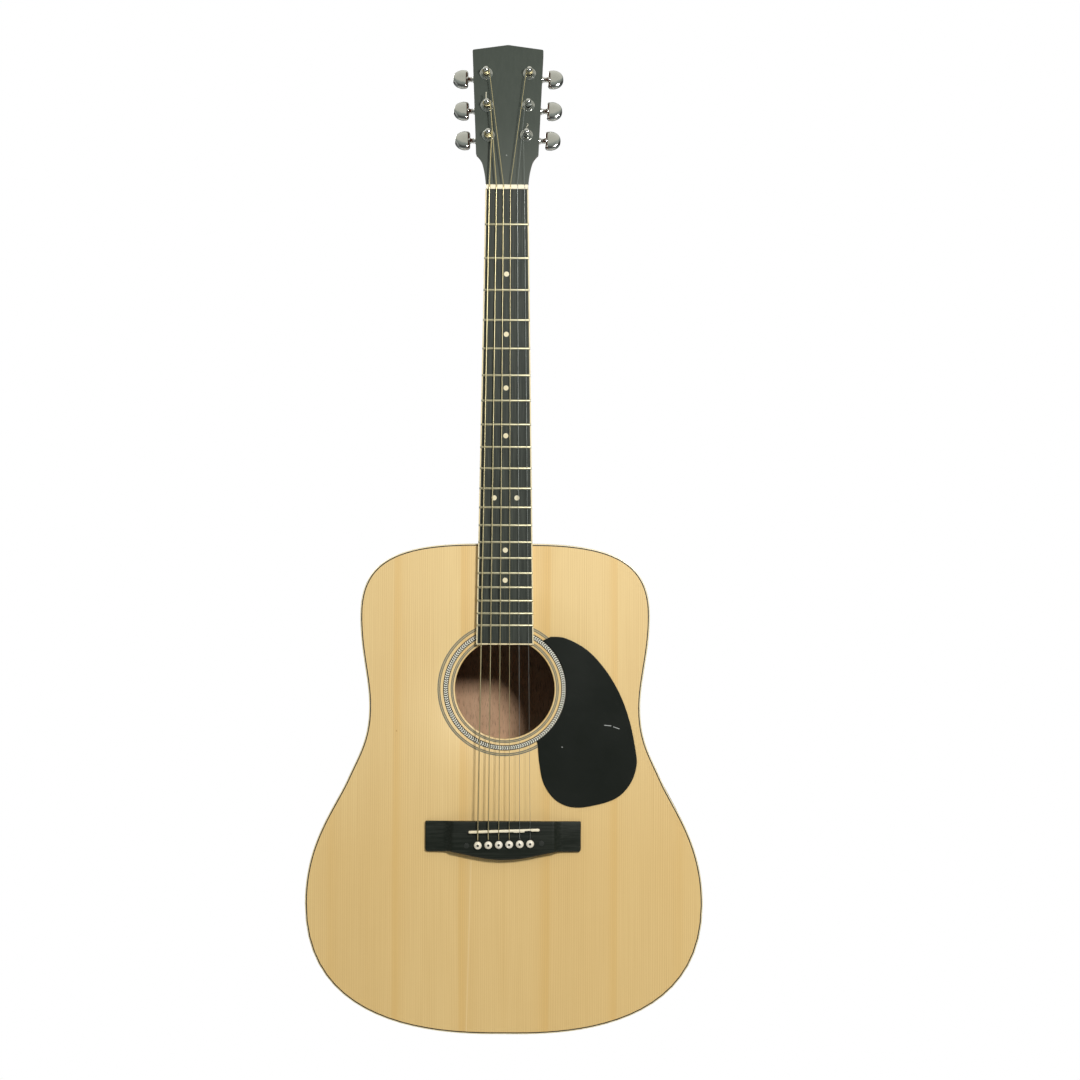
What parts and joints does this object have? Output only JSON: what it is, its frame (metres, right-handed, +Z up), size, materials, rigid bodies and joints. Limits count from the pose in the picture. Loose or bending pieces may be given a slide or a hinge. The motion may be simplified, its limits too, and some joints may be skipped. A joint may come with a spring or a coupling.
{
  "type": "acoustic guitar",
  "caption": "Steel-string dreadnought guitar: hollow wooden body with a soundhole, black bridge and pickguard, fretted neck and a headstock with chrome tuners.",
  "frame": {"origin": "the throat below the headstock, half way through the wood, where a wall hanger's fork carries the guitar", "axes": "+Z up along the neck towards the headstock, -Y out of the soundboard towards the player's audience, +X towards the treble strings"},
  "size_m": [0.404, 0.1335, 1.0201],
  "materials": {
    "black_bridge": "satin",
    "black_fingerboard": "oiled",
    "black_plastic": "satin",
    "black_veneer": "satin lacquer",
    "bone": "satin",
    "brace_spruce": "bare",
    "brass": "machined",
    "chrome": "polished",
    "cream_binding": "gloss",
    "mahogany_body": "satin",
    "mahogany_neck": "satin",
    "plain_steel": "drawn",
    "rosette_inlay": "lacquered",
    "spruce_top": "gloss",
    "white_plastic": "satin",
    "wound_bronze": "wound"
  },
  "bodies": {
    "guitar": {"soundboard": "spruce_top", "rosette": "rosette_inlay", "back_plate": "mahogany_body", "bass_side": "mahogany_body", "treble_side": "mahogany_body", "top_binding": "cream_binding", "back_binding": "cream_binding", "top_lining": "brace_spruce", "back_lining": "brace_spruce", "neck_block": "brace_spruce", "tail_block": "brace_spruce", "top_braces": "brace_spruce", "back_braces": "brace_spruce", "bridge_plate": "brace_spruce", "pickguard": "black_plastic", "bridge": "black_bridge", "saddle": "bone", "end_pin": "white_plastic", "neck": "mahogany_neck", "headstock_overlay": "black_veneer", "fingerboard": "black_fingerboard", "nut": "bone", "truss_rod": "plain_steel", "string_E_low": "wound_bronze", "tuner_housing_E_low": "chrome", "tuner_bushing_E_low": "chrome", "string_A": "wound_bronze", "tuner_housing_A": "chrome", "tuner_bushing_A": "chrome", "string_D": "wound_bronze", "tuner_housing_D": "chrome", "tuner_bushing_D": "chrome", "string_G": "wound_bronze", "tuner_housing_G": "chrome", "tuner_bushing_G": "chrome", "string_B": "plain_steel", "tuner_housing_B": "chrome", "tuner_bushing_B": "chrome", "string_E_high": "plain_steel", "tuner_housing_E_high": "chrome", "tuner_bushing_E_high": "chrome"},
    "button_E_low": {"tuner_button_E_low": "chrome"},
    "post_E_low": {"tuner_post_E_low": "chrome"},
    "pin_E_low": {"bridge_pin_E_low": "white_plastic"},
    "button_A": {"tuner_button_A": "chrome"},
    "post_A": {"tuner_post_A": "chrome"},
    "pin_A": {"bridge_pin_A": "white_plastic"},
    "button_D": {"tuner_button_D": "chrome"},
    "post_D": {"tuner_post_D": "chrome"},
    "pin_D": {"bridge_pin_D": "white_plastic"},
    "button_G": {"tuner_button_G": "chrome"},
    "post_G": {"tuner_post_G": "chrome"},
    "pin_G": {"bridge_pin_G": "white_plastic"},
    "button_B": {"tuner_button_B": "chrome"},
    "post_B": {"tuner_post_B": "chrome"},
    "pin_B": {"bridge_pin_B": "white_plastic"},
    "button_E_high": {"tuner_button_E_high": "chrome"},
    "post_E_high": {"tuner_post_E_high": "chrome"},
    "pin_E_high": {"bridge_pin_E_high": "white_plastic"},
    "rod_nut": {"truss_rod_nut": "brass"}
  },
  "joints": [
    {"name": "tuner_button_E_low_turn", "type": "hinge", "parent": "guitar", "child": "button_E_low", "pos_m": [-0.0195, 0.02488, 0.0306], "axis": [1, 0, 0], "continuous": true},
    {"name": "tuner_post_E_low_turn", "type": "hinge", "parent": "guitar", "child": "post_E_low", "pos_m": [-0.0195, -0.00035, 0.03276], "axis": [0, -0.9703, 0.2419], "continuous": true},
    {"name": "bridge_pin_E_low_pull", "type": "slide", "parent": "guitar", "child": "pin_E_low", "axis": [0, -1, 0], "range_m": [0, 0.032]},
    {"name": "tuner_button_A_turn", "type": "hinge", "parent": "guitar", "child": "button_A", "pos_m": [-0.0211, 0.03274, 0.06213], "axis": [1, 0, 0], "continuous": true},
    {"name": "tuner_post_A_turn", "type": "hinge", "parent": "guitar", "child": "post_A", "pos_m": [-0.0211, 0.00751, 0.0643], "axis": [0, -0.9703, 0.2419], "continuous": true},
    {"name": "bridge_pin_A_pull", "type": "slide", "parent": "guitar", "child": "pin_A", "axis": [0, -1, 0], "range_m": [0, 0.032]},
    {"name": "tuner_button_D_turn", "type": "hinge", "parent": "guitar", "child": "button_D", "pos_m": [-0.0222, 0.04121, 0.09609], "axis": [1, 0, 0], "continuous": true},
    {"name": "tuner_post_D_turn", "type": "hinge", "parent": "guitar", "child": "post_D", "pos_m": [-0.0222, 0.01598, 0.09826], "axis": [0, -0.9703, 0.2419], "continuous": true},
    {"name": "bridge_pin_D_pull", "type": "slide", "parent": "guitar", "child": "pin_D", "axis": [0, -1, 0], "range_m": [0, 0.032]},
    {"name": "tuner_button_G_turn", "type": "hinge", "parent": "guitar", "child": "button_G", "pos_m": [0.0222, 0.04121, 0.09609], "axis": [1, 0, 0], "continuous": true},
    {"name": "tuner_post_G_turn", "type": "hinge", "parent": "guitar", "child": "post_G", "pos_m": [0.0222, 0.01598, 0.09826], "axis": [0, -0.9703, 0.2419], "continuous": true},
    {"name": "bridge_pin_G_pull", "type": "slide", "parent": "guitar", "child": "pin_G", "axis": [0, -1, 0], "range_m": [0, 0.032]},
    {"name": "tuner_button_B_turn", "type": "hinge", "parent": "guitar", "child": "button_B", "pos_m": [0.0211, 0.03274, 0.06213], "axis": [1, 0, 0], "continuous": true},
    {"name": "tuner_post_B_turn", "type": "hinge", "parent": "guitar", "child": "post_B", "pos_m": [0.0211, 0.00751, 0.0643], "axis": [0, -0.9703, 0.2419], "continuous": true},
    {"name": "bridge_pin_B_pull", "type": "slide", "parent": "guitar", "child": "pin_B", "axis": [0, -1, 0], "range_m": [0, 0.032]},
    {"name": "tuner_button_E_high_turn", "type": "hinge", "parent": "guitar", "child": "button_E_high", "pos_m": [0.0195, 0.02488, 0.0306], "axis": [1, 0, 0], "continuous": true},
    {"name": "tuner_post_E_high_turn", "type": "hinge", "parent": "guitar", "child": "post_E_high", "pos_m": [0.0195, -0.00035, 0.03276], "axis": [0, -0.9703, 0.2419], "continuous": true},
    {"name": "bridge_pin_E_high_pull", "type": "slide", "parent": "guitar", "child": "pin_E_high", "axis": [0, -1, 0], "range_m": [0, 0.032]},
    {"name": "truss_rod_nut_turn", "type": "hinge", "parent": "guitar", "child": "rod_nut", "pos_m": [0, -0.0025, -0.4387], "axis": [0, 0, 1], "range_deg": [-180, 180]}
  ],
  "couplings": [
    {"joint": "tuner_post_E_low_turn", "follows": "tuner_button_E_low_turn", "ratio": -0.071429},
    {"joint": "tuner_post_A_turn", "follows": "tuner_button_A_turn", "ratio": -0.071429},
    {"joint": "tuner_post_D_turn", "follows": "tuner_button_D_turn", "ratio": -0.071429},
    {"joint": "tuner_post_G_turn", "follows": "tuner_button_G_turn", "ratio": 0.071429},
    {"joint": "tuner_post_B_turn", "follows": "tuner_button_B_turn", "ratio": 0.071429},
    {"joint": "tuner_post_E_high_turn", "follows": "tuner_button_E_high_turn", "ratio": 0.071429}
  ]
}
